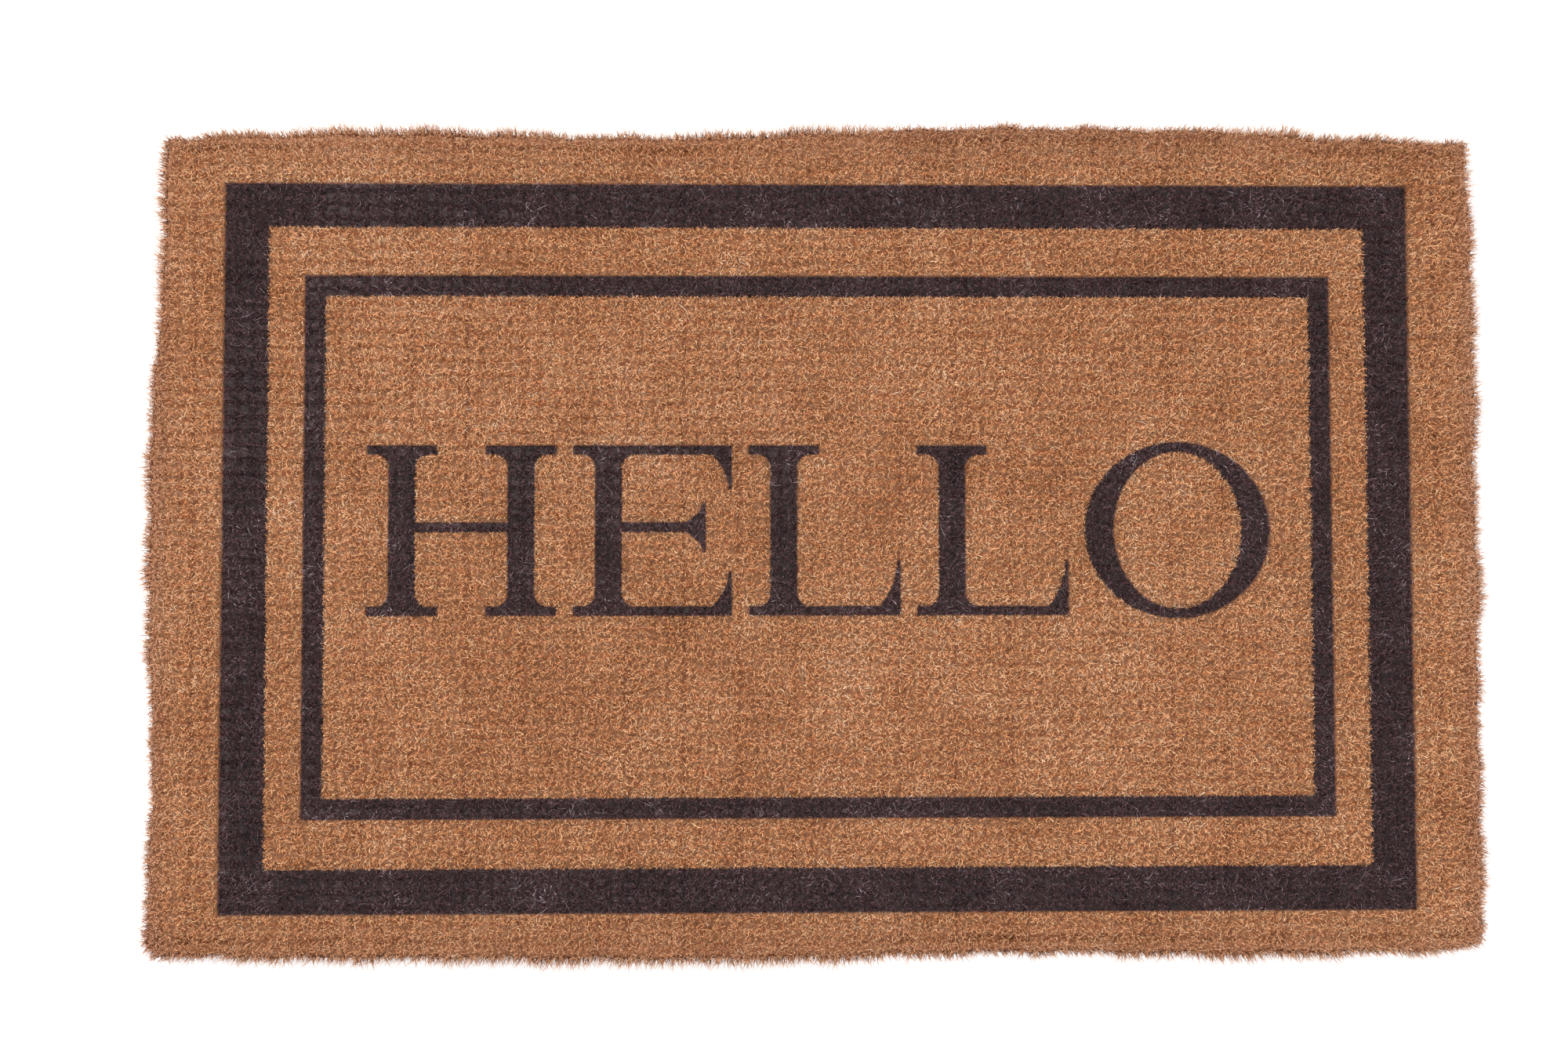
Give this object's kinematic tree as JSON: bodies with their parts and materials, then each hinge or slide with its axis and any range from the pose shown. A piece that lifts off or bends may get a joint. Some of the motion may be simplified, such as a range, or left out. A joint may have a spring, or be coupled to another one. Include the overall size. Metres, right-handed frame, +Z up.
{
  "type": "door mat",
  "caption": "Thick rectangular coir door mat with a brush pile on a woven yarn base, braided edges and a dark stencilled double border.",
  "frame": {"origin": "on the floor, under the middle of the mat", "axes": "+X along the length, which is the direction the warp yarns run; +Y across the width towards the back edge, which is the top of the greeting; +Z up out of the pile"},
  "size_m": [1.219, 0.762, 0.038],
  "materials": {
    "coir_pile": "natural coconut fibre brush pile, matte with a slight waxy shine, dyed dark at the tips where stencilled",
    "coir_yarn": "two-ply spun coir yarn, hairy and matte",
    "coir_braid": "flat plait of coir strands, matte",
    "lashing_yarn": "fine two-ply coir yarn, matte"
  },
  "bodies": {
    "root": {"warp_yarn_01": "coir_yarn", "warp_yarn_02": "coir_yarn", "warp_yarn_03": "coir_yarn", "warp_yarn_04": "coir_yarn", "warp_yarn_05": "coir_yarn", "warp_yarn_06": "coir_yarn", "warp_yarn_07": "coir_yarn", "warp_yarn_08": "coir_yarn", "warp_yarn_09": "coir_yarn", "warp_yarn_10": "coir_yarn", "warp_yarn_11": "coir_yarn", "warp_yarn_12": "coir_yarn", "warp_yarn_13": "coir_yarn", "warp_yarn_14": "coir_yarn", "weft_yarn": "coir_yarn", "front_edge_braid": "coir_braid", "front_lashing": "lashing_yarn", "back_edge_braid": "coir_braid", "back_lashing": "lashing_yarn", "left_edge_braid": "coir_braid", "left_lashing": "lashing_yarn", "right_edge_braid": "coir_braid", "right_lashing": "lashing_yarn", "pile_row_01": "coir_pile", "pile_row_02": "coir_pile", "pile_row_03": "coir_pile", "pile_row_04": "coir_pile", "pile_row_05": "coir_pile", "pile_row_06": "coir_pile", "pile_row_07": "coir_pile", "pile_row_08": "coir_pile", "pile_row_09": "coir_pile", "pile_row_10": "coir_pile", "pile_row_11": "coir_pile", "pile_row_12": "coir_pile", "pile_row_13": "coir_pile", "pile_row_14": "coir_pile", "pile_row_15": "coir_pile", "pile_row_16": "coir_pile", "pile_row_17": "coir_pile", "pile_row_18": "coir_pile", "pile_row_19": "coir_pile", "pile_row_20": "coir_pile", "pile_row_21": "coir_pile", "pile_row_22": "coir_pile", "pile_row_23": "coir_pile", "pile_row_24": "coir_pile", "pile_row_25": "coir_pile"}
  },
  "joints": []
}
